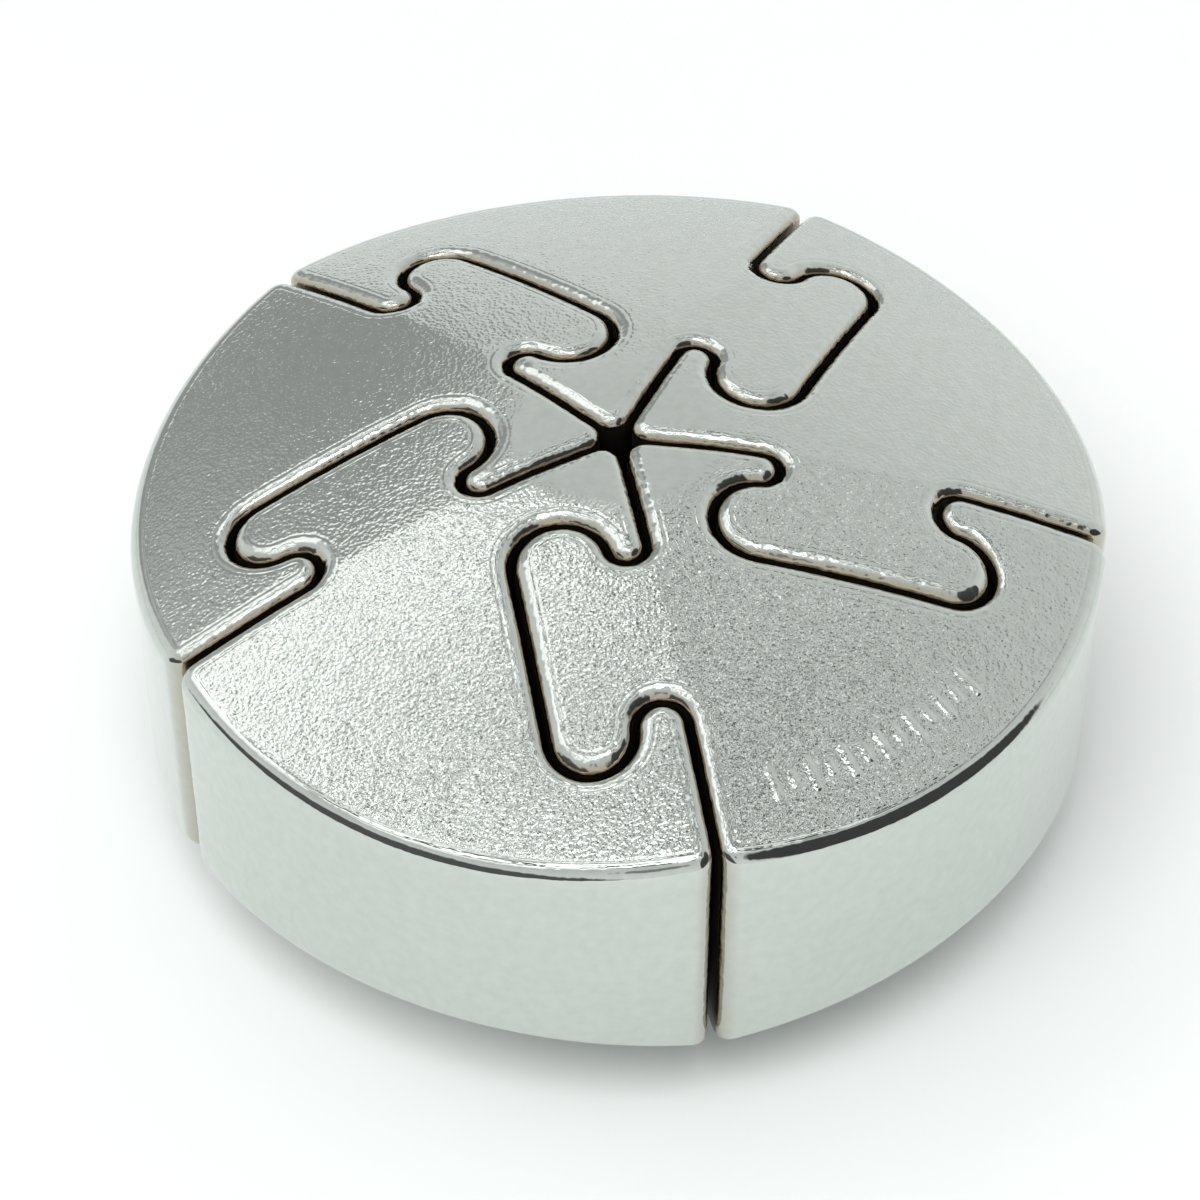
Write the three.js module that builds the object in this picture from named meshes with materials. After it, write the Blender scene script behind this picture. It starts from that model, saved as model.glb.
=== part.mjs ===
// Five-piece metal disc puzzle: a domed disc cut into five equal cast segments. Each segment carries a
// tongue on its clockwise side, and the tongue hangs in a pocket of the next segment. Tongues and pockets
// have upright walls, so neighbours slide past each other only along the disc's axis, like stair treads.
// Millimetres, +Z up along the disc's axis. The disc lies on its lower flat, which is at z = 0.
import * as THREE from 'three';

// The disc
const SEGMENT_COUNT = 5;
const DISC_RADIUS = 25;
const CENTRE_THICKNESS = 22.9;
const RIDGE_RIM_THICKNESS = 14.2;
const FACET_RIM_THICKNESS = 12.2;
const FLAT_RADIUS = 5;
const FIRST_JOINT_ANGLE = THREE.MathUtils.degToRad(-90);

// The joint between two segments. The hooks are the round lips that hold the tongue in its pocket.
const TONGUE_REACH = 6.8;
const INNER_HOOK_DISTANCE = 7.3;
const INNER_HOOK_RADIUS = 1.0;
const OUTER_HOOK_DISTANCE = 17.65;
const OUTER_HOOK_RADIUS = 1.3;
const HOOK_OVERHANG = 0.4;
const JOINT_GAP = 0.5;

// Rounded edges
const EDGE_RADIUS = 0.5;
const RIM_CORNER_RADIUS = 0.7;
const TIP_CORNER_RADIUS = 0.6;

// Fineness of the mesh
const HALF_TURN_STEPS = 7;
const CORNER_STEPS = 3;
const RIM_STEPS = 16;
const INNER_STRAIGHT_STEPS = 5;
const OUTER_STRAIGHT_STEPS = 3;
const WALL_STEPS = 4;
const EDGE_STEPS = 2;
const LONGEST_CAP_EDGE = 3.5;
const LONGEST_EDGE_ON_FLAT = 1.4;

const SEGMENT_ANGLE = 2 * Math.PI / SEGMENT_COUNT;
const NICKEL = { color: 0xb4b8ac, metalness: 1, roughness: 0.28 };

// The dome falls as the square of the radius, and again as the square of the distance along the facet.
// Facets meet in ridges over the joints, so the rim is thickest at the joints.
function domeShape() {
  const ridgeShare = Math.cos(SEGMENT_ANGLE / 2) ** 2;
  const rimSquare = DISC_RADIUS ** 2;
  const facetFall = (RIDGE_RIM_THICKNESS - FACET_RIM_THICKNESS) / 2 / (rimSquare * (1 - ridgeShare));
  const ridgeFall = (CENTRE_THICKNESS - RIDGE_RIM_THICKNESS) / 2 / (rimSquare - FLAT_RADIUS ** 2);
  return {
    apex: CENTRE_THICKNESS / 2 + ridgeFall * FLAT_RADIUS ** 2,
    roundFall: ridgeFall - facetFall * ridgeShare,
    facetFall,
  };
}

// Half the disc's thickness at a point, in the frame of a segment whose tongue joint lies along +X
function halfThickness(point) {
  const { apex, roundFall, facetFall } = domeShape();
  const turns = Math.floor(point.angle() / SEGMENT_ANGLE);
  const fromFacetMiddle = point.angle() - (turns + 0.5) * SEGMENT_ANGLE;
  const alongFacet = point.length() * Math.cos(fromFacetMiddle);
  const dome = apex - roundFall * point.lengthSq() - facetFall * alongFacet ** 2;
  return Math.min(dome, CENTRE_THICKNESS / 2);
}

function arc(x, y, radius, startAngle, endAngle, steps) {
  return Array.from({ length: steps + 1 }, (_, step) => {
    const angle = THREE.MathUtils.lerp(startAngle, endAngle, step / steps);
    return new THREE.Vector2(x + radius * Math.cos(angle), y + radius * Math.sin(angle));
  });
}

// The points strictly between two ends of a straight stretch
function between(start, end, steps) {
  return Array.from({ length: steps - 1 }, (_, step) => start.clone().lerp(end, (step + 1) / steps));
}

// Radius of the round end of the tongue that touches both its hook and the pocket's long wall
function lobeRadius(hookRadius) {
  const reachPastHook = TONGUE_REACH - hookRadius;
  return (reachPastHook ** 2 + HOOK_OVERHANG ** 2 - hookRadius ** 2) / (2 * TONGUE_REACH);
}

// The winding part of a joint that runs outward along +X, moved sideways towards the tongue's owner by
// `shift`: round the inner hook, round the tongue's inner end, along the long wall, and back the same way.
function windingCurve(shift) {
  const quarter = Math.PI / 2;
  const innerLobe = lobeRadius(INNER_HOOK_RADIUS);
  const outerLobe = lobeRadius(OUTER_HOOK_RADIUS);
  const innerTilt = Math.asin(HOOK_OVERHANG / (innerLobe + INNER_HOOK_RADIUS));
  const outerTilt = Math.asin(HOOK_OVERHANG / (outerLobe + OUTER_HOOK_RADIUS));
  const innerLobeX = INNER_HOOK_DISTANCE + HOOK_OVERHANG;
  const outerLobeX = OUTER_HOOK_DISTANCE - HOOK_OVERHANG;
  const innerHook = arc(INNER_HOOK_DISTANCE, -INNER_HOOK_RADIUS, INNER_HOOK_RADIUS + shift,
    quarter, innerTilt - quarter, HALF_TURN_STEPS);
  const innerEnd = arc(innerLobeX, innerLobe - TONGUE_REACH, innerLobe - shift,
    quarter + innerTilt, 3 * quarter, HALF_TURN_STEPS);
  const outerEnd = arc(outerLobeX, outerLobe - TONGUE_REACH, outerLobe - shift,
    -quarter, quarter - outerTilt, HALF_TURN_STEPS);
  const outerHook = arc(OUTER_HOOK_DISTANCE, -OUTER_HOOK_RADIUS, OUTER_HOOK_RADIUS + shift,
    3 * quarter - outerTilt, quarter, HALF_TURN_STEPS);
  return [
    ...innerHook,
    ...innerEnd.slice(1),
    ...between(innerEnd.at(-1), outerEnd[0], WALL_STEPS),
    ...outerEnd,
    ...outerHook.slice(1),
  ];
}

// Centre of the round corner where a segment's side meets the rim, `side` being 1 or -1
function rimCorner(side) {
  const y = side * (JOINT_GAP / 2 + RIM_CORNER_RADIUS);
  const reach = DISC_RADIUS - RIM_CORNER_RADIUS;
  return new THREE.Vector2(Math.sqrt(reach ** 2 - y ** 2), y);
}

// One side of a segment from the tip at the disc's centre out to the rim's round corner. The tongue side
// is 1, the pocket side is -1, and `inset` draws the side back into the segment.
function sideCurve(side, inset) {
  const shift = side * (JOINT_GAP / 2 + inset);
  const winding = windingCurve(shift);
  const tipStartX = (JOINT_GAP / 2 + TIP_CORNER_RADIUS) / Math.tan(SEGMENT_ANGLE / 2);
  const tipStart = new THREE.Vector2(tipStartX, shift);
  const rimEnd = new THREE.Vector2(rimCorner(side).x, shift);
  return [
    tipStart,
    ...between(tipStart, winding[0], INNER_STRAIGHT_STEPS),
    ...winding,
    ...between(winding.at(-1), rimEnd, OUTER_STRAIGHT_STEPS),
    rimEnd,
  ];
}

// The closed outline of a segment whose tongue joint lies along +X, counter-clockwise, drawn in by `inset`
function segmentOutline(inset) {
  const centre = new THREE.Vector2();
  const tongueCorner = rimCorner(1);
  const pocketCorner = rimCorner(-1).rotateAround(centre, SEGMENT_ANGLE);
  const cornerRadius = RIM_CORNER_RADIUS - inset;
  const tip = new THREE.Vector2((JOINT_GAP / 2 + TIP_CORNER_RADIUS) / Math.sin(SEGMENT_ANGLE / 2), 0)
    .rotateAround(centre, SEGMENT_ANGLE / 2);
  const pocketSide = sideCurve(-1, inset).map((point) => point.rotateAround(centre, SEGMENT_ANGLE));
  return [
    ...sideCurve(1, inset),
    ...arc(tongueCorner.x, tongueCorner.y, cornerRadius, -Math.PI / 2, tongueCorner.angle(),
      CORNER_STEPS).slice(1),
    ...arc(0, 0, DISC_RADIUS - inset, tongueCorner.angle(), pocketCorner.angle(), RIM_STEPS).slice(1),
    ...arc(pocketCorner.x, pocketCorner.y, cornerRadius, pocketCorner.angle(),
      SEGMENT_ANGLE + Math.PI / 2, CORNER_STEPS).slice(1, -1),
    ...pocketSide.reverse(),
    ...arc(tip.x, tip.y, TIP_CORNER_RADIUS - inset, SEGMENT_ANGLE + Math.PI / 2,
      3 * Math.PI / 2, CORNER_STEPS).slice(1, -1),
  ];
}

// An edge's length as a share of the longest that is allowed there. Edges are short around the flat, so
// that its border is true, and an edge of the outline stays whole because the wall shares it.
function edgeExcess(points, outlineSize, start, end) {
  const apart = Math.abs(start - end);
  const onOutline = Math.max(start, end) < outlineSize && (apart === 1 || apart === outlineSize - 1);
  const nearFlat = points[start].clone().lerp(points[end], 0.5).length() < FLAT_RADIUS + LONGEST_EDGE_ON_FLAT;
  const limit = nearFlat ? LONGEST_EDGE_ON_FLAT : LONGEST_CAP_EDGE;
  return onOutline ? 0 : points[start].distanceTo(points[end]) / limit;
}

// Cuts every edge of the cap that is too long in half until none is left, so that it can follow the dome
function refineCap(points, faces) {
  const outlineSize = points.length;
  const middles = new Map();
  const middleOf = (start, end) => {
    const key = start < end ? `${start} ${end}` : `${end} ${start}`;
    if (!middles.has(key)) {
      middles.set(key, points.push(points[start].clone().lerp(points[end], 0.5)) - 1);
    }
    return middles.get(key);
  };
  const refined = [];
  const waiting = [...faces];
  while (waiting.length > 0) {
    const face = waiting.pop();
    const excess = face.map((corner, i) => edgeExcess(points, outlineSize, corner, face[(i + 1) % 3]));
    const worst = excess.indexOf(Math.max(...excess));
    if (excess[worst] <= 1) {
      refined.push(face);
      continue;
    }
    const [start, end, far] = [0, 1, 2].map((i) => face[(worst + i) % 3]);
    const middle = middleOf(start, end);
    waiting.push([start, middle, far], [middle, end, far]);
  }
  return refined;
}

// The rings of the wall, from the lower face's edge to the upper face's edge. Each ring is an outline with
// its points lifted to the dome's height less a drop, and the rounded edges are quarter circles.
function wallRings() {
  const quarterRound = Array.from({ length: EDGE_STEPS + 1 }, (_, step) => step / EDGE_STEPS * Math.PI / 2);
  const upper = quarterRound.map((turn) => {
    const drop = EDGE_RADIUS * (1 - Math.sin(turn));
    return segmentOutline(EDGE_RADIUS * (1 - Math.cos(turn)))
      .map((point) => new THREE.Vector3(point.x, point.y, halfThickness(point) - drop));
  });
  const flipped = upper.map((ring) => ring.map((point) => point.clone().setZ(-point.z)));
  return [...flipped.reverse(), ...upper];
}

function segmentGeometry() {
  const rings = wallRings();
  const ringSize = rings[0].length;
  const capOutline = segmentOutline(EDGE_RADIUS);
  const capPoints = capOutline.map((point) => point.clone());
  const capFaces = refineCap(capPoints, THREE.ShapeUtils.triangulateShape(capOutline, []));
  const vertices = rings.flat();
  const faces = [];
  for (let ring = 0; ring < rings.length - 1; ring += 1) {
    for (let i = 0; i < ringSize; i += 1) {
      const here = ring * ringSize + i;
      const next = ring * ringSize + (i + 1) % ringSize;
      faces.push([here, next, next + ringSize], [here, next + ringSize, here + ringSize]);
    }
  }
  const addCap = (firstRingVertex, up) => {
    const firstInner = vertices.length;
    const innerPoints = capPoints.slice(ringSize);
    innerPoints.forEach((point) => {
      vertices.push(new THREE.Vector3(point.x, point.y, up * halfThickness(point)));
    });
    const vertexOf = (index) => (index < ringSize ? firstRingVertex + index : firstInner + index - ringSize);
    capFaces.forEach((face) => {
      const corners = face.map(vertexOf);
      faces.push(up > 0 ? corners : corners.reverse());
    });
  };
  addCap(0, -1);
  addCap((rings.length - 1) * ringSize, 1);
  const geometry = new THREE.BufferGeometry().setFromPoints(vertices);
  geometry.setIndex(faces.flat());
  geometry.computeVertexNormals();
  return geometry;
}

// The segments are copies of one casting, turned from joint to joint and numbered counter-clockwise
function discPuzzle() {
  const puzzle = new THREE.Group();
  for (let i = 0; i < SEGMENT_COUNT; i += 1) {
    const segment = new THREE.Mesh(segmentGeometry(), new THREE.MeshStandardMaterial(NICKEL));
    segment.name = `segment_${i + 1}`;
    segment.rotation.z = FIRST_JOINT_ANGLE + i * SEGMENT_ANGLE;
    segment.position.z = CENTRE_THICKNESS / 2;
    puzzle.add(segment);
  }
  return puzzle;
}

export default discPuzzle();
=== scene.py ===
"""Cast metal disc puzzle: fine surfaces and finishes for its interlocking segments.

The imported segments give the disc's place and outer size. Each one is replaced by a finer casting with the
same outline: round-nosed tongue and pocket, rounded rim and lips, a creased dome above and below, the gentle
waviness of a die-cast skin, and a row of small raised ticks on the first segment. Sizes are in millimetres
until a mesh is written.
"""

import logging
import math
from dataclasses import dataclass, field
from enum import IntEnum
from typing import Any

import bpy
import numpy as np
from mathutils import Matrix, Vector
from mathutils.geometry import delaunay_2d_cdt


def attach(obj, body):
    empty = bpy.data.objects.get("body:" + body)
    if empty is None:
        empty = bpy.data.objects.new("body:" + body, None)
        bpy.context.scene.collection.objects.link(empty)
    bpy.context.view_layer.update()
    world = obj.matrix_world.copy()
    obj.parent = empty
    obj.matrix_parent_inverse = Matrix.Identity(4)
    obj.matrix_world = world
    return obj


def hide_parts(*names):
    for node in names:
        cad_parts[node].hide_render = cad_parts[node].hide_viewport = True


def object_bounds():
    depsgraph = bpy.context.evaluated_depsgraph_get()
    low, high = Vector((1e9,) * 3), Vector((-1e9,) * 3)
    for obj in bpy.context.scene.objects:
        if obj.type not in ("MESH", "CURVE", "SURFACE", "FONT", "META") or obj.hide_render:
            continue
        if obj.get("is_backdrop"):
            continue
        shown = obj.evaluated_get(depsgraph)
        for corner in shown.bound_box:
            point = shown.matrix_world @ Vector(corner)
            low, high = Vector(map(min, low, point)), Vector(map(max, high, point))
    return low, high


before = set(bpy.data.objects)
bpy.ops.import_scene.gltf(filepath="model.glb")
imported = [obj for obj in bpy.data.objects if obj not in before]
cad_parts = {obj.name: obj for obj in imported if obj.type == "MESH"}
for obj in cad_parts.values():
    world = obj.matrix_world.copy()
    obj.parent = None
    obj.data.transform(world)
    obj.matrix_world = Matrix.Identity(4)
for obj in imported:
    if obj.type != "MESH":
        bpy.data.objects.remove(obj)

LOG = logging.getLogger("disc_puzzle")
MM = 0.001
QUARTER_TURN = math.pi / 2
LATTICE_CELLS = 128
MERGE_DISTANCE = 1e-7
Array = np.ndarray
Tree = bpy.types.NodeTree
Socket = bpy.types.NodeSocket


class Skin(IntEnum):
    """Which finish a face of a segment wears, as its material index."""

    PLATED_CASTING = 0
    SLOT_WALL = 1


class Side(IntEnum):
    """The two sides of a segment: +1 carries the tongue, -1 holds the pocket."""

    TONGUE = 1
    POCKET = -1


# --------------------------------------------------------------------------------------------------
# Plane geometry
# --------------------------------------------------------------------------------------------------


def turned(points: Array, angle: float) -> Array:
    """Turns plane points about the disc's axis.

    Args:
        points: Array of shape (n, 2).
        angle: Counter-clockwise turn in radians.

    Returns:
        The turned points, shape (n, 2).
    """
    cos, sin = math.cos(angle), math.sin(angle)
    return points @ np.array([[cos, sin], [-sin, cos]])


def arc(centre: tuple[float, float], radius: float, start: float, end: float, steps: int) -> Array:
    """Points at equal angles on a circle: centre plus radius times (cosine, sine) of the angle.

    Args:
        centre: Centre of the circle.
        radius: Its radius.
        start: First angle in radians.
        end: Last angle in radians.
        steps: How many equal steps lie between them.

    Returns:
        The points with both ends, shape (steps + 1, 2).
    """
    angles = np.linspace(start, end, steps + 1)
    return np.array(centre) + radius * np.column_stack([np.cos(angles), np.sin(angles)])


def between(start: Array, end: Array, steps: int) -> Array:
    """Points strictly between two ends: start plus an even share of the way to end.

    Args:
        start: One end, shape (2,).
        end: The other end, shape (2,).
        steps: How many equal steps the stretch is cut into.

    Returns:
        The inner points, shape (steps - 1, 2).
    """
    shares = np.arange(1, steps)[:, None] / steps
    return start + (end - start) * shares


def distance_to_loop(points: Array, loop: Array) -> Array:
    """Distance from each point to a closed polygon's nearest edge.

    Each point is projected on every edge, the projection is held between the edge's ends, and the
    shortest of the distances is kept.

    Args:
        points: Points of shape (n, 2).
        loop: The polygon's corners in order, shape (m, 2).

    Returns:
        Distances, shape (n,).
    """
    edge = np.roll(loop, -1, axis=0) - loop
    offset = points[:, None, :] - loop[None, :, :]
    share = np.clip((offset * edge).sum(2) / (edge**2).sum(1), 0, 1)
    return np.linalg.norm(offset - share[..., None] * edge, axis=2).min(1)


def inside_loop(points: Array, loop: Array) -> Array:
    """Tells which points lie in a closed polygon, by counting the edges that a ray along +X crosses.

    Args:
        points: Points of shape (n, 2).
        loop: The polygon's corners in order, shape (m, 2).

    Returns:
        Booleans, shape (n,).
    """
    end = np.roll(loop, -1, axis=0)
    y = points[:, 1][:, None]
    straddles = (loop[:, 1] > y) != (end[:, 1] > y)
    rise = np.where(end[:, 1] == loop[:, 1], 1, end[:, 1] - loop[:, 1])
    crossing = loop[:, 0] + (y - loop[:, 1]) * (end[:, 0] - loop[:, 0]) / rise
    return (straddles & (points[:, 0][:, None] < crossing)).sum(1) % 2 == 1


def hexagonal_grid(low: Array, high: Array, spacing: float) -> Array:
    """Points of a triangular grid: rows a half spacing out of step, 0.87 spacings apart.

    Args:
        low: Lowest corner of the box to fill, shape (2,).
        high: Its highest corner, shape (2,).
        spacing: Distance between neighbouring points.

    Returns:
        The grid's points, shape (n, 2).
    """
    row_step = spacing * math.sqrt(0.75)
    columns = np.arange(math.ceil((high[0] - low[0]) / spacing) + 1)
    rows = np.arange(math.ceil((high[1] - low[1]) / row_step) + 1)
    column, row = np.meshgrid(columns, rows)
    x = low[0] + (column + 0.5 * (row % 2)) * spacing
    y = low[1] + row * row_step
    return np.column_stack([x.ravel(), y.ravel()])


def smooth_step(value: Array) -> Array:
    """Rises smoothly from 0 to 1 as value does: three times its square less twice its cube."""
    held = np.clip(value, 0, 1)
    return held * held * (3 - 2 * held)


def lattice_noise(points: Array, wavelength: float, seed: int) -> Array:
    """Smooth noise from -1 to 1: random heights on a square lattice, blended smoothly in each cell.

    Args:
        points: Points of shape (n, 2).
        wavelength: The lattice's spacing.
        seed: Seed of the random heights.

    Returns:
        Noise values, shape (n,).
    """
    heights = np.random.default_rng(seed).uniform(-1, 1, (LATTICE_CELLS, LATTICE_CELLS))
    scaled = points / wavelength + LATTICE_CELLS / 2
    cell = np.floor(scaled).astype(int)
    share = smooth_step(scaled - cell)
    left, right = cell[:, 0] % LATTICE_CELLS, (cell[:, 0] + 1) % LATTICE_CELLS
    near, far = cell[:, 1] % LATTICE_CELLS, (cell[:, 1] + 1) % LATTICE_CELLS
    low = heights[left, near] + (heights[right, near] - heights[left, near]) * share[:, 0]
    high = heights[left, far] + (heights[right, far] - heights[left, far]) * share[:, 0]
    return low + (high - low) * share[:, 1]


# --------------------------------------------------------------------------------------------------
# Shape of the disc and of a segment
# --------------------------------------------------------------------------------------------------


@dataclass(frozen=True)
class Disc:
    """The whole disc, in millimetres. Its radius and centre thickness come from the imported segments."""

    radius: float
    centre_thickness: float
    segment_count: int
    ridge_rim_thickness: float = 14.2
    facet_rim_thickness: float = 12.2
    flat_radius: float = 5.0
    first_joint_angle: float = math.radians(-90)
    ridge_softness: float = 0.08
    flat_softness: float = 0.05

    @property
    def segment_angle(self) -> float:
        """Angle of one segment in radians."""
        return 2 * math.pi / self.segment_count

    @property
    def middle_height(self) -> float:
        """Height of the disc's middle plane above its lower flat."""
        return self.centre_thickness / 2

    def half_thickness(self, points: Array) -> Array:
        """Half the disc's thickness at plane points, in the frame of a joint that lies along +X.

        The dome falls as the square of the radius, and again as the square of the distance along the
        nearest facet's middle line. That distance is a soft maximum over the facets, which rounds the
        ridges between them. A soft minimum with the centre thickness leaves the flat in the middle.

        Args:
            points: Points of shape (n, 2).

        Returns:
            Half thicknesses, shape (n,).
        """
        ridge_share = math.cos(self.segment_angle / 2) ** 2
        rim_square = self.radius**2
        rim_step = (self.ridge_rim_thickness - self.facet_rim_thickness) / 2
        facet_fall = rim_step / (rim_square * (1 - ridge_share))
        ridge_drop = (self.centre_thickness - self.ridge_rim_thickness) / 2
        ridge_fall = ridge_drop / (rim_square - self.flat_radius**2)
        round_fall = ridge_fall - facet_fall * ridge_share
        apex = self.middle_height + ridge_fall * self.flat_radius**2
        middles = (np.arange(self.segment_count) + 0.5) * self.segment_angle
        along = points @ np.array([np.cos(middles), np.sin(middles)])
        along = self.ridge_softness * np.logaddexp.reduce(along / self.ridge_softness, axis=1)
        dome = apex - round_fall * (points**2).sum(1) - facet_fall * along**2
        excess = (dome - self.middle_height) / self.flat_softness
        return self.middle_height - self.flat_softness * np.logaddexp(0, -excess)


@dataclass(frozen=True)
class Joint:
    """The joint between two segments, in millimetres, as it runs outward along +X."""

    tongue_reach: float = 6.8
    inner_hook_distance: float = 7.3
    inner_hook_radius: float = 1.0
    outer_hook_distance: float = 17.65
    outer_hook_radius: float = 1.3
    hook_overhang: float = 0.4
    gap: float = 0.36
    half_turn_steps: int = 20
    wall_steps: int = 20

    def lobe_radius(self, hook_radius: float) -> float:
        """Radius of the tongue's round end that touches both the hook and the pocket's long wall.

        It solves the right triangle between the two centres, whose longest side is the sum of the radii
        and whose sides are the hook's overhang and the reach that is left.

        Args:
            hook_radius: Radius of the hook that the lobe meets.

        Returns:
            The lobe's radius.
        """
        reach_past_hook = self.tongue_reach - hook_radius
        return (reach_past_hook**2 + self.hook_overhang**2 - hook_radius**2) / (2 * self.tongue_reach)

    def winding(self, shift: float) -> Array:
        """The winding part of the joint: hook, lobe, long wall, lobe, hook.

        Args:
            shift: How far the line is moved sideways, towards the segment that carries the tongue.

        Returns:
            Points from the inner hook to the outer hook, shape (n, 2).
        """
        inner_lobe = self.lobe_radius(self.inner_hook_radius)
        outer_lobe = self.lobe_radius(self.outer_hook_radius)
        inner_tilt = math.asin(self.hook_overhang / (inner_lobe + self.inner_hook_radius))
        outer_tilt = math.asin(self.hook_overhang / (outer_lobe + self.outer_hook_radius))
        inner_hook = arc((self.inner_hook_distance, -self.inner_hook_radius), self.inner_hook_radius + shift,
                         QUARTER_TURN, inner_tilt - QUARTER_TURN, self.half_turn_steps)
        inner_end = arc((self.inner_hook_distance + self.hook_overhang, inner_lobe - self.tongue_reach),
                        inner_lobe - shift, QUARTER_TURN + inner_tilt, 3 * QUARTER_TURN, self.half_turn_steps)
        outer_end = arc((self.outer_hook_distance - self.hook_overhang, outer_lobe - self.tongue_reach),
                        outer_lobe - shift, -QUARTER_TURN, QUARTER_TURN - outer_tilt, self.half_turn_steps)
        outer_hook = arc((self.outer_hook_distance, -self.outer_hook_radius), self.outer_hook_radius + shift,
                         3 * QUARTER_TURN - outer_tilt, QUARTER_TURN, self.half_turn_steps)
        wall = between(inner_end[-1], outer_end[0], self.wall_steps)
        return np.vstack([inner_hook, inner_end[1:], wall, outer_end, outer_hook[1:]])


@dataclass(frozen=True)
class TickRow:
    """A row of small raised ticks along the rim, in millimetres, long and short by turns.

    A tick's flanks fall to nothing at flank_end half widths from its middle line, and start one half width
    nearer to it.
    """

    count: int = 13
    path_radius: float = 21.6
    first_angle: float = math.radians(9)
    last_angle: float = math.radians(41)
    long_tick: float = 1.8
    short_tick: float = 1.0
    width: float = 0.45
    height: float = 0.08
    flank_end: float = 1.25

    def _polar(self, points: Array) -> tuple[Array, Array]:
        """Distance from the disc's axis and angle from +X of each point."""
        return np.linalg.norm(points, axis=1), np.arctan2(points[:, 1], points[:, 0])

    def relief(self, points: Array) -> Array:
        """Height that the ticks add at plane points.

        Each tick is a short radial stroke with round ends. Its height falls off smoothly with the
        distance to the stroke, and the highest of the ticks counts.

        Args:
            points: Points of shape (n, 2).

        Returns:
            Heights, shape (n,).
        """
        radius, angle = self._polar(points)
        ticks = np.linspace(self.first_angle, self.last_angle, self.count)
        lengths = np.where(np.arange(self.count) % 2 == 0, self.long_tick, self.short_tick)
        across = self.path_radius * (angle[:, None] - ticks)
        outward = np.abs(radius - self.path_radius)[:, None] - (lengths - self.width) / 2
        distance = np.hypot(across, np.maximum(outward, 0))
        return self.height * smooth_step(self.flank_end - distance / (self.width / 2)).max(1)

    def near(self, points: Array) -> Array:
        """Tells which plane points lie in the band that the ticks stand in.

        Args:
            points: Points of shape (n, 2).

        Returns:
            Booleans, shape (n,).
        """
        radius, angle = self._polar(points)
        margin = 2 * self.width / self.path_radius
        in_band = np.abs(radius - self.path_radius) < self.long_tick / 2 + self.width
        return in_band & (angle > self.first_angle - margin) & (angle < self.last_angle + margin)


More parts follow.
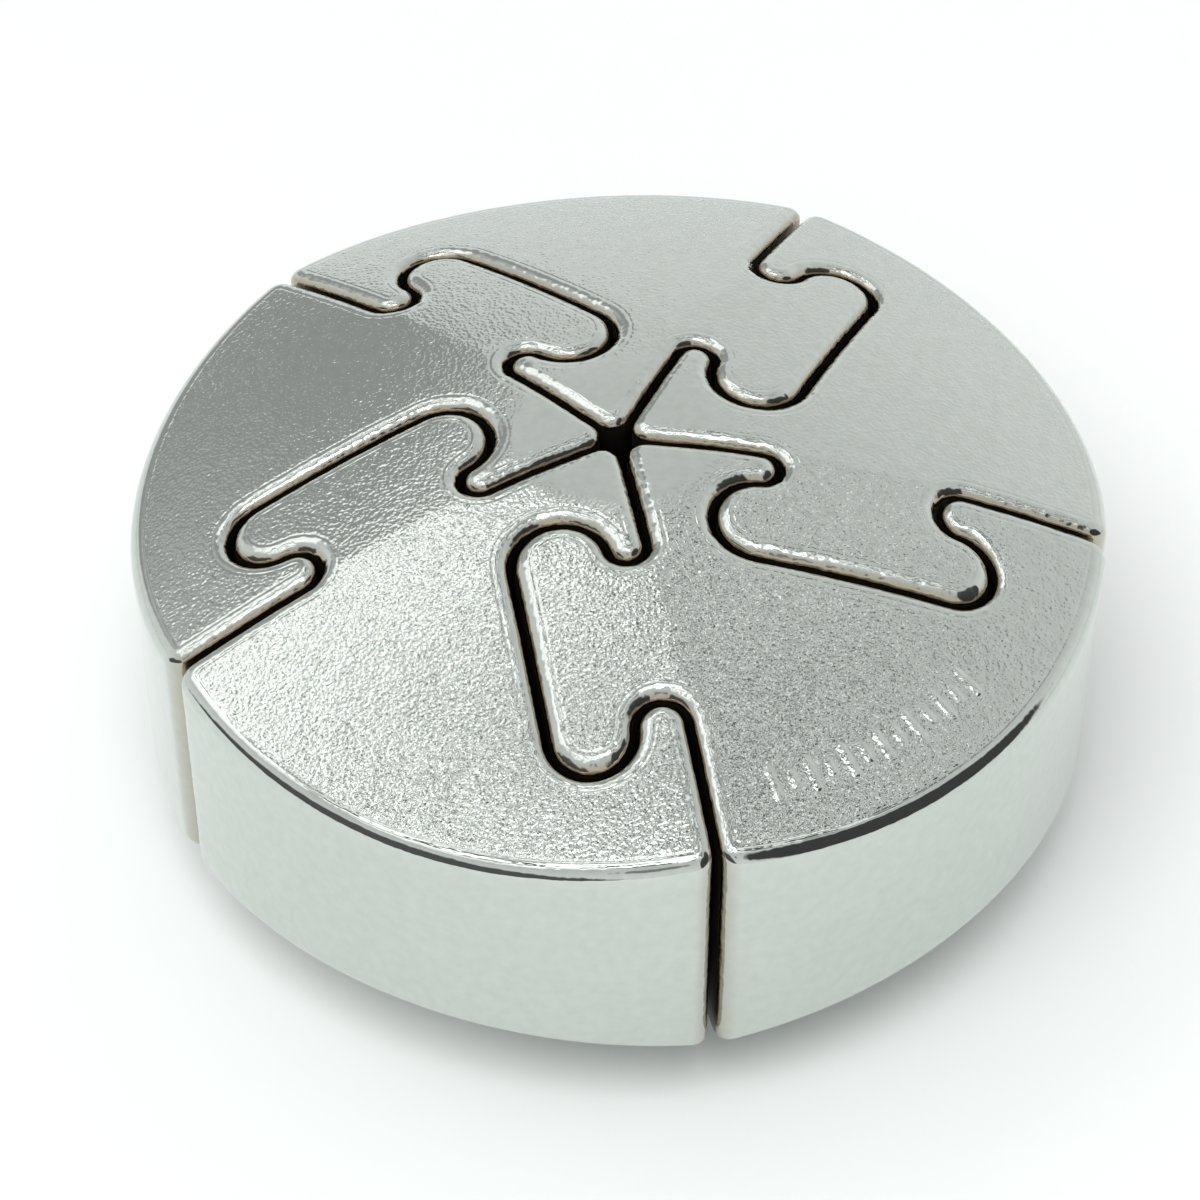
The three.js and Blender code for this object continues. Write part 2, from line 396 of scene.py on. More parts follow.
@dataclass
class Segment:
    """One cast segment, in millimetres: its outline, its dome, its rounded edges and its mesh.

    The edge's radius is also the width of the slots' lips, which fall by the lip's depth. A face's grid is
    fine at the ticks and along the ridge that crosses the tongue, and keeps clear of the edge by a share
    of its spacing.
    """

    number: int
    disc: Disc
    joint: Joint
    ticks: TickRow | None = None
    edge_radius: float = 0.64
    lip_depth: float = 0.56
    lip_exponent: float = 1.75
    rim_corner_radius: float = 0.9
    tip_corner_radius: float = 0.9
    inner_straight_steps: int = 14
    outer_straight_steps: int = 14
    corner_steps: int = 6
    rim_steps: int = 80
    edge_steps: int = 9
    wall_steps: int = 8
    cap_spacing: float = 0.36
    fine_spacing: float = 0.13
    crease_band: float = 0.55
    grid_clearance: float = 0.55
    waviness: float = 0.007
    wave_length: float = 1.5
    waveless_share_of_flat: float = 0.6
    small_wave_seed: int = 100

    @property
    def node(self) -> str:
        """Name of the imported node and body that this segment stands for."""
        return f"segment_{self.number}"

    def _rim_corner(self, side: Side) -> Array:
        """Centre of the round corner where a side meets the rim, tangent to both.

        Args:
            side: The tongue side or the pocket side.

        Returns:
            The centre with the joint along +X, shape (2,).
        """
        y = side * (self.joint.gap / 2 + self.rim_corner_radius)
        reach = self.disc.radius - self.rim_corner_radius
        return np.array([math.sqrt(reach**2 - y**2), y])

    def _side(self, side: Side, inset: float) -> Array:
        """One side of the segment, from its tip at the disc's centre to its corner at the rim.

        Args:
            side: The tongue side or the pocket side.
            inset: How far the side is drawn back into the segment.

        Returns:
            Points along the side with the joint along +X, shape (n, 2).
        """
        shift = side * (self.joint.gap / 2 + inset)
        winding = self.joint.winding(shift)
        tip_x = (self.joint.gap / 2 + self.tip_corner_radius) / math.tan(self.disc.segment_angle / 2)
        tip = np.array([tip_x, shift])
        rim = np.array([self._rim_corner(side)[0], shift])
        inner = between(tip, winding[0], self.inner_straight_steps)
        outer = between(winding[-1], rim, self.outer_straight_steps)
        return np.vstack([tip, inner, winding, outer, rim])

    def outline(self, inset: float) -> tuple[Array, Array]:
        """The segment's closed outline with its tongue joint along +X, counter-clockwise.

        Args:
            inset: How far the outline is drawn in from the segment's walls.

        Returns:
            The points, shape (n, 2), and each point's share of the rim: 1 on it, 0 in a slot, and between
            them round the corners.
        """
        angle = self.disc.segment_angle
        tongue = self._side(Side.TONGUE, inset)
        pocket = turned(self._side(Side.POCKET, inset), angle)[::-1]
        tongue_corner = self._rim_corner(Side.TONGUE)
        pocket_corner = turned(self._rim_corner(Side.POCKET), angle)
        tongue_angle = math.atan2(tongue_corner[1], tongue_corner[0])
        pocket_angle = math.atan2(pocket_corner[1], pocket_corner[0])
        corner_radius = self.rim_corner_radius - inset
        tip_distance = (self.joint.gap / 2 + self.tip_corner_radius) / math.sin(angle / 2)
        tip = turned(np.array([tip_distance, 0.0]), angle / 2)
        rise = np.linspace(0, 1, self.corner_steps + 1)
        stretches = [
            (tongue, np.zeros(len(tongue))),
            (arc(tongue_corner, corner_radius, -QUARTER_TURN, tongue_angle, self.corner_steps)[1:],
             rise[1:]),
            (arc((0, 0), self.disc.radius - inset, tongue_angle, pocket_angle, self.rim_steps)[1:],
             np.ones(self.rim_steps)),
            (arc(pocket_corner, corner_radius, pocket_angle, angle + QUARTER_TURN, self.corner_steps)[1:-1],
             rise[::-1][1:-1]),
            (pocket, np.zeros(len(pocket))),
            (arc(tip, self.tip_corner_radius - inset, angle + QUARTER_TURN, 3 * QUARTER_TURN,
                 self.corner_steps)[1:-1],
             np.zeros(self.corner_steps - 1)),
        ]
        points, shares = zip(*stretches)
        return np.vstack(points), np.concatenate(shares)

    def _height(self, points: Array, upper: bool) -> Array:
        """Height of a face above or below the middle plane, with the casting's waviness.

        The waviness is two octaves of smooth noise. It fades out over the flat, so that the disc rests
        true, and the ticks stand on the upper face only.

        Args:
            points: Points of shape (n, 2) with the tongue joint along +X.
            upper: True for the upper face.

        Returns:
            Heights from the middle plane, positive outward, shape (n,).
        """
        seed = 2 * self.number + upper
        noise = lattice_noise(points, self.wave_length, seed)
        noise += lattice_noise(points, self.wave_length / 2, seed + self.small_wave_seed) / 2
        share_of_flat = np.linalg.norm(points, axis=1) / self.disc.flat_radius
        off_flat = smooth_step(share_of_flat - self.waveless_share_of_flat)
        height = self.disc.half_thickness(points) + self.waviness * noise * off_flat
        if upper and self.ticks:
            height += self.ticks.relief(points)
        return height

    def _rings(self) -> tuple[Array, Array]:
        """Rings of points up the wall, from the lower face's edge to the upper face's edge.

        Returns:
            The rings, shape (rings, n, 3), and how far each is drawn in from the wall, shape (rings,).
        """
        turns = np.linspace(0, QUARTER_TURN, self.edge_steps + 1)
        insets = self.edge_radius * (1 - np.cos(turns))
        lower = np.array([self._edge_ring(turn, upper=False) for turn in turns])[::-1]
        upper = np.array([self._edge_ring(turn, upper=True) for turn in turns])
        shares = (np.arange(1, self.wall_steps) / self.wall_steps)[:, None, None]
        wall = lower[-1] + (upper[0] - lower[-1]) * shares
        all_insets = np.concatenate([insets[::-1], np.zeros(len(wall)), insets])
        return np.vstack([lower, wall, upper]), all_insets

    def _edge_ring(self, turn: float, upper: bool) -> Array:
        """One ring of a rounded edge, which is a quarter turn swept round the outline.

        The outline is drawn in by the radius times one less the cosine of the turn, and the face's height
        is lowered by the edge's depth times one less its rise. On the rim the depth is the radius and the
        rise is the sine, a quarter round. In the slots the lip is a flatter superellipse: its rise is one
        less the cosine to the power of the exponent, all to the power of one over the exponent.

        Args:
            turn: Angle round the edge in radians, from 0 at the wall to a quarter turn at the face.
            upper: True for the upper face's edge.

        Returns:
            The ring's points with heights from the middle plane, shape (n, 3).
        """
        plan, rim_share = self.outline(self.edge_radius * (1 - math.cos(turn)))
        rim_drop = self.edge_radius * (1 - math.sin(turn))
        lip_rise = (1 - math.cos(turn) ** self.lip_exponent) ** (1 / self.lip_exponent)
        lip_drop = self.lip_depth * (1 - lip_rise)
        height = self._height(plan, upper) - lip_drop - (rim_drop - lip_drop) * rim_share
        return np.column_stack([plan, height if upper else -height])

    def _finely_shaped(self, points: Array) -> Array:
        """Tells where a face needs its fine grid: along the ridge that crosses the tongue, and at the ticks.

        Args:
            points: Points of shape (n, 2) with the tongue joint along +X.

        Returns:
            Booleans, shape (n,).
        """
        on_ridge = np.abs(points[:, 1]) < self.crease_band
        return on_ridge | self.ticks.near(points) if self.ticks else on_ridge

    def _cap_plan(self, ring: Array) -> tuple[Array, Array, Array]:
        """Triangulates a face between its edge ring and a grid of inner points.

        Args:
            ring: The edge ring's plane points in order, shape (n, 2).

        Returns:
            The inner points, their distances from the ring, and the triangles, which count the ring's
            points first and in order.
        """
        low, high = ring.min(0), ring.max(0)
        coarse = hexagonal_grid(low, high, self.cap_spacing)
        fine = hexagonal_grid(low, high, self.fine_spacing)
        grid = np.vstack([coarse[~self._finely_shaped(coarse)], fine[self._finely_shaped(fine)]])
        grid = grid[inside_loop(grid, ring)]
        distance = distance_to_loop(grid, ring)
        clear = distance > self.cap_spacing * self.grid_clearance
        grid, distance = grid[clear], distance[clear]
        points = np.vstack([ring, grid])
        loop = [[i, (i + 1) % len(ring)] for i in range(len(ring))]
        _, _, faces, sources, _, _ = delaunay_2d_cdt(points.tolist(), loop, [], 1, MERGE_DISTANCE)
        origin = np.array([source[0] for source in sources])
        return grid, distance, origin[np.array(faces)]

    def mesh(self) -> bpy.types.Mesh:
        """Builds the segment as one closed mesh in the part's frame, in metres.

        Returns:
            The mesh, with material indices and two attributes. "edge_distance" is the distance in
            millimetres from the nearest wall, seen from above. "slot_share" is 1 on the walls and lips of
            the slots, and 0 on the rim and on the faces.
        """
        rings, insets = self._rings()
        ring_count, ring_size, _ = rings.shape
        inner_plan, inner_distance, triangles = self._cap_plan(rings[-1][:, :2])
        lower_inner = np.column_stack([inner_plan, -self._height(inner_plan, upper=False)])
        upper_inner = np.column_stack([inner_plan, self._height(inner_plan, upper=True)])
        local = np.vstack([rings.reshape(-1, 3), lower_inner, upper_inner])
        angle = self.disc.first_joint_angle + (self.number - 1) * self.disc.segment_angle
        placed = np.column_stack([turned(local[:, :2], angle), local[:, 2] + self.disc.middle_height])

        mesh = bpy.data.meshes.new(self.node)
        faces = self._faces(ring_count, ring_size, len(inner_plan), triangles)
        mesh.from_pydata((placed * MM).tolist(), [], faces)
        mesh.polygons.foreach_set("use_smooth", np.ones(len(faces), bool))
        mesh.polygons.foreach_set("material_index", self._skins(insets, len(faces)))
        distance = np.concatenate([np.repeat(insets, ring_size),
                                   np.tile(inner_distance + self.edge_radius, 2)])
        _, rim_share = self.outline(0)
        slot_share = np.concatenate([np.tile(1 - rim_share, ring_count), np.zeros(2 * len(inner_plan))])
        mesh.attributes.new("edge_distance", "FLOAT", "POINT").data.foreach_set("value", distance)
        mesh.attributes.new("slot_share", "FLOAT", "POINT").data.foreach_set("value", slot_share)
        mesh.validate()
        mesh.update()
        return mesh

    def _faces(self, ring_count: int, ring_size: int, inner_count: int, triangles: Array) -> list[list[int]]:
        """Point numbers of the wall's squares, then of the lower and the upper face's triangles.

        The mesh counts its points ring by ring, then the lower face's inner points, then the upper face's.

        Args:
            ring_count: How many rings the wall has.
            ring_size: How many points a ring has.
            inner_count: How many inner points a face has.
            triangles: A face's triangles, counting its edge ring first, shape (n, 3).

        Returns:
            The faces, which all point outwards.
        """
        ring_start = np.arange(ring_count - 1)[:, None] * ring_size
        here = ring_start + np.arange(ring_size)
        after = ring_start + (np.arange(ring_size) + 1) % ring_size
        wall = np.stack([here, after, after + ring_size, here + ring_size], axis=2).reshape(-1, 4)
        last_ring = (ring_count - 1) * ring_size
        on_ring = triangles < ring_size
        lower = np.where(on_ring, triangles, triangles + last_ring)
        upper = triangles + last_ring + np.where(on_ring, 0, inner_count)
        return wall.tolist() + lower[:, ::-1].tolist() + upper.tolist()

    def _skins(self, insets: Array, face_count: int) -> Array:
        """Material index of each face: slot walls below the rounded edges, which wear painted shade, and
        plating everywhere else.

        Args:
            insets: How far each ring is drawn in from the wall.
            face_count: How many faces the whole mesh has.

        Returns:
            Indices for all faces, the wall's first, shape (face_count,).
        """
        in_slot = self.outline(0)[1] == 0
        upright = (insets[:-1] == 0) & (insets[1:] == 0)
        skins = np.full(face_count, int(Skin.PLATED_CASTING))
        # upright faces in the slots get the slot material, whose darker colour is painted shade
        wall = np.where(upright[:, None] & in_slot[None, :], int(Skin.SLOT_WALL), int(Skin.PLATED_CASTING))
        skins[: wall.size] = wall.ravel()
        return skins

    def build(self, finishes: list[bpy.types.Material]) -> bpy.types.Object:
        """Makes the segment's object, dresses it and lets it ride on its body.

        Args:
            finishes: The materials in the order of Skin.

        Returns:
            The new object.
        """
        piece = bpy.data.objects.new(f"{self.node}_casting", self.mesh())
        bpy.context.scene.collection.objects.link(piece)
        for finish in finishes:
            piece.data.materials.append(finish)
        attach(piece, self.node)
        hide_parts(self.node)
        LOG.info("%s: %d faces", piece.name, len(piece.data.polygons))
        return piece


# --------------------------------------------------------------------------------------------------
# Finishes
# --------------------------------------------------------------------------------------------------


def linear(colour: str) -> tuple[float, float, float, float]:
    """Turns an sRGB hex colour into linear light, by the sRGB standard's curve.

    Args:
        colour: The colour, such as "#c8ccc0".

    Returns:
        Linear red, green and blue, and an alpha of 1.
    """
    parts = [int(colour[i:i + 2], 16) / 255 for i in (1, 3, 5)]
    red, green, blue = [p / 12.92 if p <= 0.04045 else ((p + 0.055) / 1.055) ** 2.4 for p in parts]
    return (red, green, blue, 1.0)


def add_node(tree: Tree, kind: str, settings: dict[str, Any] | None = None,
             links: dict[str | int, Socket] | None = None, **values: Any) -> bpy.types.Node:
    """Adds one node with its settings, socket values and incoming links.

    Args:
        tree: Node tree to add to.
        kind: Blender's name of the node type.
        settings: Properties of the node itself.
        links: Sockets of other nodes by the name or index of the input that they feed.
        **values: Input values by socket name, with underscores for spaces.

    Returns:
        The new node.
    """
    node = tree.nodes.new(kind)
    for name, value in (settings or {}).items():
        setattr(node, name, value)
    for name, value in values.items():
        node.inputs[name.replace("_", " ")].default_value = value
    for name, socket in (links or {}).items():
        tree.links.new(socket, node.inputs[name])
    return node


def blank_material(name: str) -> bpy.types.Material:
    """Makes a material whose node tree is still empty.

    Args:
        name: The finish's name.

    Returns:
        The material.
    """
    material = bpy.data.materials.new(name)
    material.use_nodes = True
    material.node_tree.nodes.clear()
    return material


@dataclass(frozen=True)
class NickelPlate:
    """Bright nickel plating over a zinc die casting, with lengths in millimetres.

    The plating copies the casting's skin: a fine pebble grain on the faces, which breaks reflections into
    sparkling flecks, and almost a mirror on the side wall and on the rounded edges. Nickel has a slightly
    warm grey-green cast. The low parts of the lumps are painted a darker copy of it, a painted shade.
    Handling has worn the grain off the middle of the disc, the lips of the slots are lumpy, with a shallow
    groove beside them, and tarnish browns them towards the slot. The grain is drawn a little coarser than a
    real casting's, so that it shows.
    """

    colour: str = "#cfd5d0"
    # painted shade: a darker copy of the plating's colour for the low parts of the lumps
    lump_hollow_shade_colour: str = "#c1c7c1"
    tarnish_colour: str = "#a08c70"
    tarnish_share: float = 0.7
    tarnish_reach: float = 0.35
    smooth_roughness: float = 0.05
    lip_roughness: float = 0.13
    grain_size: float = 0.22
    grain_height: float = 0.048
    pebble_share: float = 0.4
    worn_radius: float = 4.5
    grainy_radius: float = 7.0
    worn_grain: float = 0.15
    grain_start: float = 0.66
    grain_full: float = 0.9
    lump_size: float = 0.6
    lump_height: float = 0.08
    lumps_on_lip: float = 0.85
    lumps_on_wall: float = 0.15
    lumps_on_face: float = 0.06
    groove_distance: float = 0.78
    groove_half_width: float = 0.14
    groove_depth: float = 0.016

    def material(self) -> bpy.types.Material:
        """Builds the material out of colour, roughness and relief.

        Returns:
            The material, which reads the mesh's "edge_distance" and "slot_share" attributes.
        """
        material = blank_material("nickel_plated_die_casting")
        tree = material.node_tree
        place = add_node(tree, "ShaderNodeTexCoord").outputs["Object"]
        distance = add_node(tree, "ShaderNodeAttribute", {"attribute_name": "edge_distance"}).outputs["Fac"]
        slot = add_node(tree, "ShaderNodeAttribute", {"attribute_name": "slot_share"}).outputs["Fac"]
        lumps = add_node(tree, "ShaderNodeTexNoise", links={"Vector": place},
                         Scale=1 / (self.lump_size * MM), Detail=1.0).outputs["Fac"]
        face = add_node(tree, "ShaderNodeMapRange", {"interpolation_type": "SMOOTHSTEP"}, {"Value": distance},
                        From_Min=self.grain_start, From_Max=self.grain_full).outputs["Result"]
        wear = self._wear(tree, place)
        lumpy = self._lumpy_normal(tree, lumps, slot, face)
        grooved = self._grooved_normal(tree, distance, wear, lumpy)
        roughness = add_node(tree, "ShaderNodeMapRange", links={"Value": slot},
                             To_Min=self.smooth_roughness, To_Max=self.lip_roughness)
        shader = add_node(tree, "ShaderNodeBsdfPrincipled", Metallic=1.0,
                          links={"Base Color": self._tint(tree, lumps, distance, slot),
                                 "Roughness": roughness.outputs["Result"],
                                 "Normal": self._grainy_normal(tree, place, face, wear, grooved)})
        add_node(tree, "ShaderNodeOutputMaterial", links={"Surface": shader.outputs["BSDF"]})
        return material

    def _tint(self, tree: Tree, lumps: Socket, distance: Socket, slot: Socket) -> Socket:
        """Paints shade into the low parts of the lumps with a darker copy of the plating's colour, and browns
        the lips towards the slot.

        Args:
            tree: Node tree to add to.
            lumps: Height of the skin's lumps.
            distance: Distance from the nearest wall.
            slot: Share of the slot.

        Returns:
            The colour.
        """
        # painted shade: the low parts of the lumps take the darker copy of the colour, the high parts the
        # full colour
        tint = add_node(tree, "ShaderNodeMix", {"data_type": "RGBA"}, {0: lumps})
        tint.inputs["A"].default_value = linear(self.lump_hollow_shade_colour)
        tint.inputs["B"].default_value = linear(self.colour)
        near_wall = add_node(tree, "ShaderNodeMapRange", {"interpolation_type": "SMOOTHSTEP"},
                             {"Value": distance}, From_Max=self.tarnish_reach,
                             To_Min=self.tarnish_share, To_Max=0.0)
        tarnish = add_node(tree, "ShaderNodeMath", {"operation": "MULTIPLY"},
                           {0: near_wall.outputs["Result"], 1: slot})
        stained = add_node(tree, "ShaderNodeMix", {"data_type": "RGBA"}, {0: tarnish.outputs["Value"]})
        tree.links.new(tint.outputs["Result"], stained.inputs["A"])
        stained.inputs["B"].default_value = linear(self.tarnish_colour)
        return stained.outputs["Result"]

    def _wear(self, tree: Tree, place: Socket) -> Socket:
        """Share of the grain that is left: little round the disc's axis, all of it further out.

        Args:
            tree: Node tree to add to.
            place: Object coordinates.

        Returns:
            The share.
        """
        flat_place = add_node(tree, "ShaderNodeVectorMath", {"operation": "MULTIPLY"}, {0: place})
        flat_place.inputs[1].default_value = (1.0, 1.0, 0.0)
        from_axis = add_node(tree, "ShaderNodeVectorMath", {"operation": "LENGTH"},
                             {0: flat_place.outputs["Vector"]})
        return add_node(tree, "ShaderNodeMapRange", {"interpolation_type": "SMOOTHSTEP"},
                        {"Value": from_axis.outputs["Value"]}, From_Min=self.worn_radius * MM,
                        From_Max=self.grainy_radius * MM, To_Min=self.worn_grain,
                        To_Max=1.0).outputs["Result"]

    def _lumpy_normal(self, tree: Tree, lumps: Socket, slot: Socket, face: Socket) -> Socket:
        """Tilts the surface by the lumps: most on the lips, less on the side wall, hardly on the faces.

        Args:
            tree: Node tree to add to.
            lumps: Height of the skin's lumps.
            slot: Share of the slot.
            face: Share of the face.

        Returns:
            The surface's direction.
        """
        edge_share = add_node(tree, "ShaderNodeMapRange", links={"Value": slot},
                              To_Min=self.lumps_on_wall, To_Max=self.lumps_on_lip)
        share = add_node(tree, "ShaderNodeMapRange",
                         links={"Value": face, "To Min": edge_share.outputs["Result"]},
                         To_Max=self.lumps_on_face)
        return add_node(tree, "ShaderNodeBump", Distance=self.lump_height * MM,
                        links={"Height": lumps, "Strength": share.outputs["Result"]}).outputs["Normal"]

    def _grooved_normal(self, tree: Tree, distance: Socket, wear: Socket, normal: Socket) -> Socket:
        """Cuts a shallow groove beside the edges, worn where the grain is.

        Args:
            tree: Node tree to add to.
            distance: Distance from the nearest wall.
            wear: Share of the relief that is left.
            normal: Direction of the surface that the groove is cut in.

        Returns:
            The surface's direction with the groove.
        """
        offset = add_node(tree, "ShaderNodeMath", {"operation": "SUBTRACT"}, {0: distance})
        offset.inputs[1].default_value = self.groove_distance
        off_middle = add_node(tree, "ShaderNodeMath", {"operation": "ABSOLUTE"},
                              {0: offset.outputs["Value"]})
        groove = add_node(tree, "ShaderNodeMapRange", {"interpolation_type": "SMOOTHSTEP"},
                          {"Value": off_middle.outputs["Value"]}, From_Max=self.groove_half_width)
        return add_node(tree, "ShaderNodeBump", Distance=self.groove_depth * MM,
                        links={"Height": groove.outputs["Result"], "Strength": wear,
                               "Normal": normal}).outputs["Normal"]

    def _grainy_normal(self, tree: Tree, place: Socket, face: Socket, wear: Socket,
                       normal: Socket) -> Socket:
        """Covers the faces with grain, a blend of soft noise and round pebbles.

        Args:
            tree: Node tree to add to.
            place: Object coordinates.
            face: Share of the face.
            wear: Share of the grain that is left.
            normal: Direction of the surface under the grain.

        Returns:
            The surface's direction with the grain.
        """
        noise = add_node(tree, "ShaderNodeTexNoise", links={"Vector": place},
                         Scale=1 / (self.grain_size * MM), Detail=1.0, Roughness=0.5)
        pebbles = add_node(tree, "ShaderNodeTexVoronoi", links={"Vector": place},
                           Scale=1 / (self.grain_size * MM))
        relief = add_node(tree, "ShaderNodeMix", {"data_type": "FLOAT"},
                          {"A": noise.outputs["Fac"], "B": pebbles.outputs["Distance"]},
                          Factor=self.pebble_share)
        share = add_node(tree, "ShaderNodeMath", {"operation": "MULTIPLY"}, {0: face, 1: wear})
        return add_node(tree, "ShaderNodeBump", Distance=self.grain_height * MM,
                        links={"Height": relief.outputs["Result"], "Strength": share.outputs["Value"],
                               "Normal": normal}).outputs["Normal"]


@dataclass(frozen=True)
class SlotWallShadePlate:
    """Plating inside the slots, with lengths in millimetres.

    The walls wear painted shade: they are painted darker and browner than the outside, for the shade in the
    narrow slots between the segments, and they are also duller.
    """

    # painted shade: both wall colours are darker and browner than the outside plating, for the shade in the
    # narrow slots
    colour: str = "#a39d90"
    stain_colour: str = "#746c5e"
    roughness: float = 0.34
    stain_size: float = 2.5

    def material(self) -> bpy.types.Material:
        """Builds the material, with painted shade and soft stains a few millimetres wide.

        Returns:
            The material.
        """
        material = blank_material("dull_slot_wall_painted_shade")
        tree = material.node_tree
        place = add_node(tree, "ShaderNodeTexCoord").outputs["Object"]
        stains = add_node(tree, "ShaderNodeTexNoise", links={"Vector": place},
                          Scale=1 / (self.stain_size * MM), Detail=3.0)
        # painted shade with soft stains: the noise mixes two dark colours, both darker than the outside
        # plating
        tint = add_node(tree, "ShaderNodeMix", {"data_type": "RGBA"}, {0: stains.outputs["Fac"]})
        tint.inputs["A"].default_value = linear(self.stain_colour)
        tint.inputs["B"].default_value = linear(self.colour)
        shader = add_node(tree, "ShaderNodeBsdfPrincipled", Metallic=1.0, Roughness=self.roughness,
                          links={"Base Color": tint.outputs["Result"]})
        add_node(tree, "ShaderNodeOutputMaterial", links={"Surface": shader.outputs["BSDF"]})
        return material


# --------------------------------------------------------------------------------------------------
# Studio
# --------------------------------------------------------------------------------------------------


def heading(azimuth: float, elevation: float) -> Vector:
    """Unit vector towards a place around the disc.

    Args:
        azimuth: Degrees clockwise from +Y seen from above.
        elevation: Degrees above the horizon.

    Returns:
        The direction.
    """
    turn, rise = math.radians(azimuth), math.radians(elevation)
    return Vector((math.sin(turn) * math.cos(rise), math.cos(turn) * math.cos(rise), math.sin(rise)))


@dataclass(frozen=True)
class GlowPatch:
    """A soft round patch of light or shade in the studio's surroundings.

    Args:
        azimuth: Degrees clockwise from +Y seen from above.
        elevation: Degrees above the horizon.
        core: Angle from its centre, in degrees, to which it is at full strength.
        edge: Angle from its centre, in degrees, at which it ends.
        level: Brightness that it brings the surroundings to.
    """

    azimuth: float
    elevation: float
    core: float
    edge: float
    level: float


@dataclass
class Studio:
    """Pale floor, soft lights, surroundings for the metal to reflect, and the camera.

    Lengths are in metres, the lens and its sensor in millimetres, and angles in degrees. The camera's aim,
    from the disc's centre, and its distance are shares of the disc's radius.
    """

    disc: Disc
    floor_colour: str = "#e8ebea"
    floor_roughness: float = 0.9
    floor_size: float = 3.0
    lamp_azimuth: float = -150
    lamp_elevation: float = 62
    lamp_distance: float = 0.6
    lamp_size: float = 0.5
    lamp_energy: float = 1.95
    camera_azimuth: float = -169.11
    camera_elevation: float = 46.14
    camera_distance: float = 8.11
    camera_aim: tuple[float, float] = (-0.0404, -0.0170)
    camera_lens: float = 116.0
    camera_sensor: float = 36.0
    camera_clip: tuple[float, float] = (0.01, 10.0)
    horizon_level: float = 0.95
    zenith_level: float = 0.72
    patches: list[GlowPatch] = field(default_factory=lambda: [
        GlowPatch(-70, 52, 5, 17, 1.6),
        GlowPatch(-42, 52, 5, 17, 1.6),
        GlowPatch(-16, 56, 5, 12, 1.5),
        GlowPatch(1, 68, 7, 11, 1.4),
        GlowPatch(-122, 62, 14, 18, 1.4),
        GlowPatch(-20, 24, 18, 24, 0.43),
        GlowPatch(-32, 30, 3, 12, 0.62),
        GlowPatch(-122, -18, 44, 49, 0.12),
        GlowPatch(128, 19, 28, 33, 0.07),
        GlowPatch(-169, 34, 4, 8, 0.3),
        GlowPatch(185, 72, 9, 14, 3.0),
    ])
    mottle_size: float = 0.075
    mottle_low: float = 0.1
    mottle_high: float = 1.95
    mottle_noise: tuple[float, float] = (0.4, 0.6)
    mottle_start: float = 0.76
    mottle_full: float = 0.87

    def build(self) -> None:
        """Makes the floor, surroundings, lamps and camera."""
        self._floor()
        self._surroundings()
        self._fill_lamp()
        self._camera()
        LOG.info("studio: floor, surroundings, lamp and camera")

    def _floor(self) -> None:
        """Lays a plain pale floor under the disc."""
        half = self.floor_size / 2
        mesh = bpy.data.meshes.new("floor")
        mesh.from_pydata([(-half, -half, 0), (half, -half, 0), (half, half, 0), (-half, half, 0)], [],
                         [(0, 1, 2, 3)])
        floor = bpy.data.objects.new("floor", mesh)
        bpy.context.scene.collection.objects.link(floor)
        material = bpy.data.materials.new("pale_paper_floor")
        material.use_nodes = True
        shader = material.node_tree.nodes["Principled BSDF"]
        shader.inputs["Base Color"].default_value = linear(self.floor_colour)
        shader.inputs["Roughness"].default_value = self.floor_roughness
        mesh.materials.append(material)
        floor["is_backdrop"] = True

    def _surroundings(self) -> None:
        """Colours the surroundings by direction: a gradient from horizon to zenith, patches and mottling."""
        world = bpy.data.worlds.new("studio")
        bpy.context.scene.world = world
        world.use_nodes = True
        tree = world.node_tree
        tree.nodes.clear()
        direction = add_node(tree, "ShaderNodeTexCoord").outputs["Generated"]
        height = add_node(tree, "ShaderNodeSeparateXYZ", links={"Vector": direction}).outputs["Z"]
        level = add_node(tree, "ShaderNodeMapRange", {"interpolation_type": "SMOOTHSTEP"},
                         {"Value": height}, From_Max=1.0,
                         To_Min=self.horizon_level, To_Max=self.zenith_level).outputs["Result"]
        for patch in self.patches:
            level = self._patched(tree, direction, level, patch)
        glow = add_node(tree, "ShaderNodeBackground",
                        links={"Strength": self._mottled(tree, direction, height, level)})
        glow.inputs["Color"].default_value = (1.0, 1.0, 1.0, 1.0)
        add_node(tree, "ShaderNodeOutputWorld", links={"Surface": glow.outputs["Background"]})

    def _patched(self, tree: Tree, direction: Socket, level: Socket, patch: GlowPatch) -> Socket:
        """Lays one patch over the surroundings, full in its core and fading smoothly to its edge.

        Args:
            tree: Node tree to add to.
            direction: Direction that is looked in.
            level: Brightness without the patch.
            patch: The patch.

        Returns:
            The brightness with the patch.
        """
        facing = add_node(tree, "ShaderNodeVectorMath", {"operation": "DOT_PRODUCT"}, {0: direction})
        facing.inputs[1].default_value = heading(patch.azimuth, patch.elevation)
        share = add_node(tree, "ShaderNodeMapRange", {"interpolation_type": "SMOOTHSTEP"},
                         {"Value": facing.outputs["Value"]},
                         From_Min=math.cos(math.radians(patch.edge)),
                         From_Max=math.cos(math.radians(patch.core)))
        return add_node(tree, "ShaderNodeMix", {"data_type": "FLOAT"},
                        {"Factor": share.outputs["Result"], "A": level}, B=patch.level).outputs["Result"]

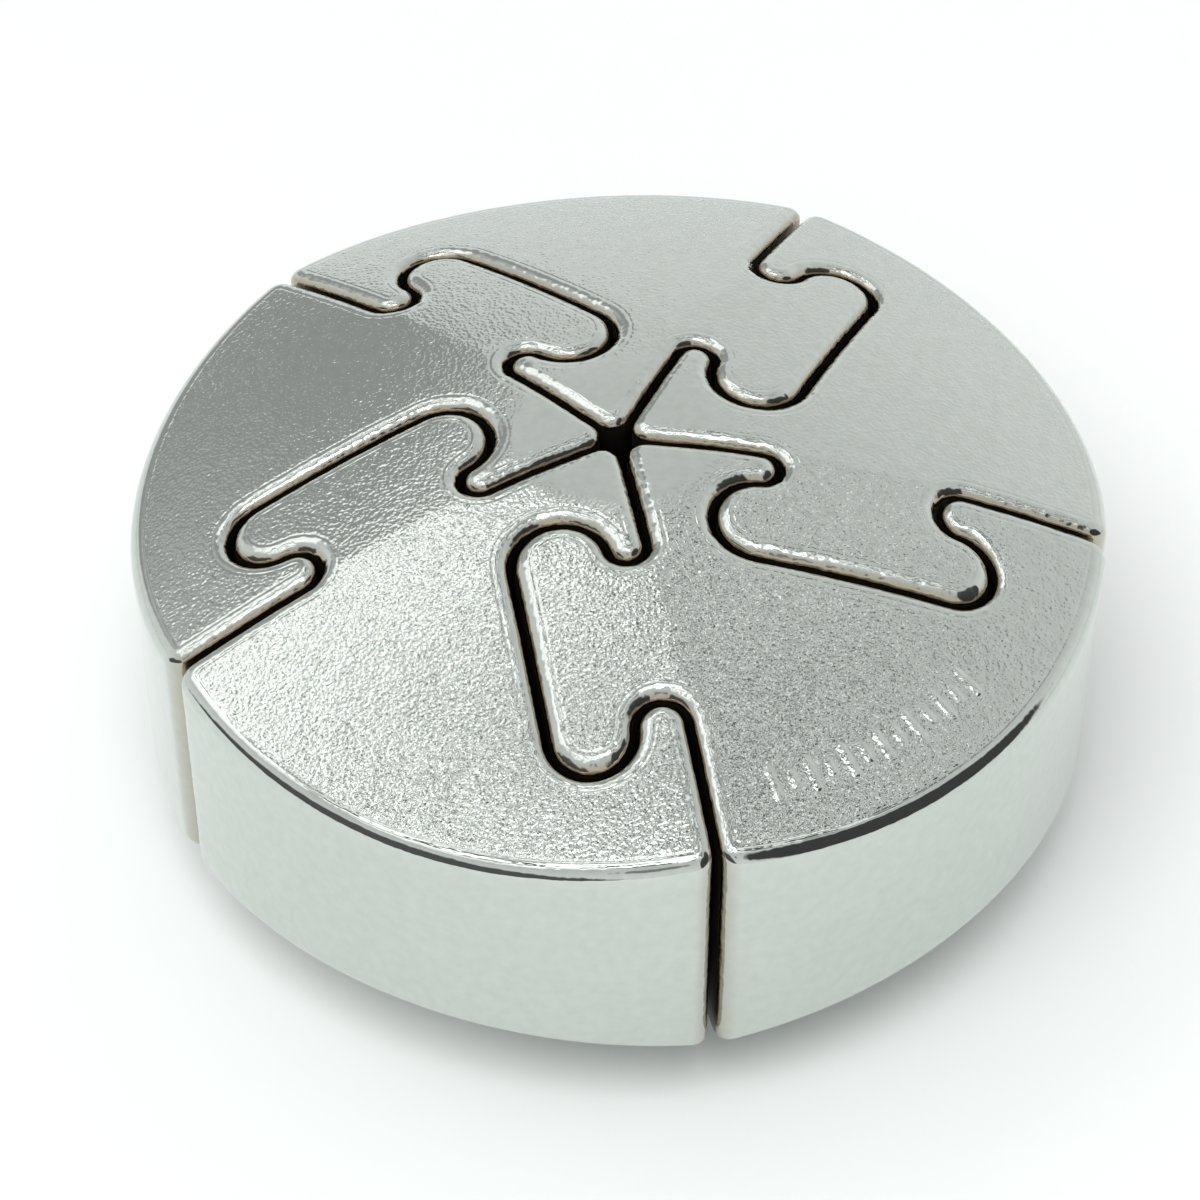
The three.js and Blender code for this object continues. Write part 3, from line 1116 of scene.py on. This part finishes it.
    def _mottled(self, tree: Tree, direction: Socket, height: Socket, level: Socket) -> Socket:
        """Breaks the surroundings near the zenith into light and dark, which the grain turns to flecks.

        Args:
            tree: Node tree to add to.
            direction: Direction that is looked in.
            height: Its height, 0 at the horizon and 1 at the zenith.
            level: Brightness without the mottling.

        Returns:
            The brightness with the mottling.
        """
        noise = add_node(tree, "ShaderNodeTexNoise", links={"Vector": direction},
                         Scale=1 / self.mottle_size, Detail=0.0).outputs["Fac"]
        mottle = add_node(tree, "ShaderNodeMapRange", links={"Value": noise},
                          From_Min=self.mottle_noise[0], From_Max=self.mottle_noise[1],
                          To_Min=self.mottle_low, To_Max=self.mottle_high).outputs["Result"]
        share = add_node(tree, "ShaderNodeMapRange", links={"Value": height},
                         From_Min=self.mottle_start, From_Max=self.mottle_full).outputs["Result"]
        factor = add_node(tree, "ShaderNodeMix", {"data_type": "FLOAT"},
                          {"Factor": share, "B": mottle}, A=1.0).outputs["Result"]
        return add_node(tree, "ShaderNodeMath", {"operation": "MULTIPLY"},
                        {0: level, 1: factor}).outputs["Value"]

    def _fill_lamp(self) -> None:
        """Hangs a broad soft lamp that lights the floor but leaves no highlight on the metal."""
        lamp = bpy.data.lights.new("overhead_softbox", "AREA")
        lamp.shape = "DISK"
        lamp.size = self.lamp_size
        lamp.energy = self.lamp_energy
        direction = heading(self.lamp_azimuth, self.lamp_elevation)
        holder = bpy.data.objects.new("overhead_softbox", lamp)
        holder.location = direction * self.lamp_distance
        holder.rotation_euler = direction.to_track_quat("Z", "Y").to_euler()
        holder.visible_glossy = False
        bpy.context.scene.collection.objects.link(holder)

    def _camera(self) -> None:
        """Places a long-lens camera above the first joint, looking down at the disc."""
        radius = self.disc.radius * MM
        aim_x, aim_y = self.camera_aim
        aim = Vector((aim_x * radius, aim_y * radius, self.disc.middle_height * MM))
        back = heading(self.camera_azimuth, self.camera_elevation)
        lens = bpy.data.cameras.new("camera")
        lens.lens = self.camera_lens
        lens.sensor_width = self.camera_sensor
        lens.clip_start, lens.clip_end = self.camera_clip
        camera = bpy.data.objects.new("camera", lens)
        camera.location = aim + back * (self.camera_distance * radius)
        camera.rotation_mode = "QUATERNION"
        camera.rotation_quaternion = (-back).to_track_quat("-Z", "Y")
        bpy.context.scene.collection.objects.link(camera)
        bpy.context.scene.camera = camera


def main() -> None:
    """Builds the segments and the studio."""
    logging.basicConfig(level=logging.INFO, format="%(name)s: %(message)s")
    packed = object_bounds()
    size = (packed[1] - packed[0]) / MM
    disc = Disc(radius=max(size.x, size.y) / 2, centre_thickness=size.z, segment_count=len(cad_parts))
    joint = Joint()
    finishes = [NickelPlate().material(), SlotWallShadePlate().material()]
    for number in range(1, disc.segment_count + 1):
        ticks = TickRow() if number == 1 else None
        Segment(number, disc, joint, ticks).build(finishes)
    Studio(disc).build()
    bpy.context.scene.view_settings.view_transform = "Standard"


if __name__ == "__main__":
    main()
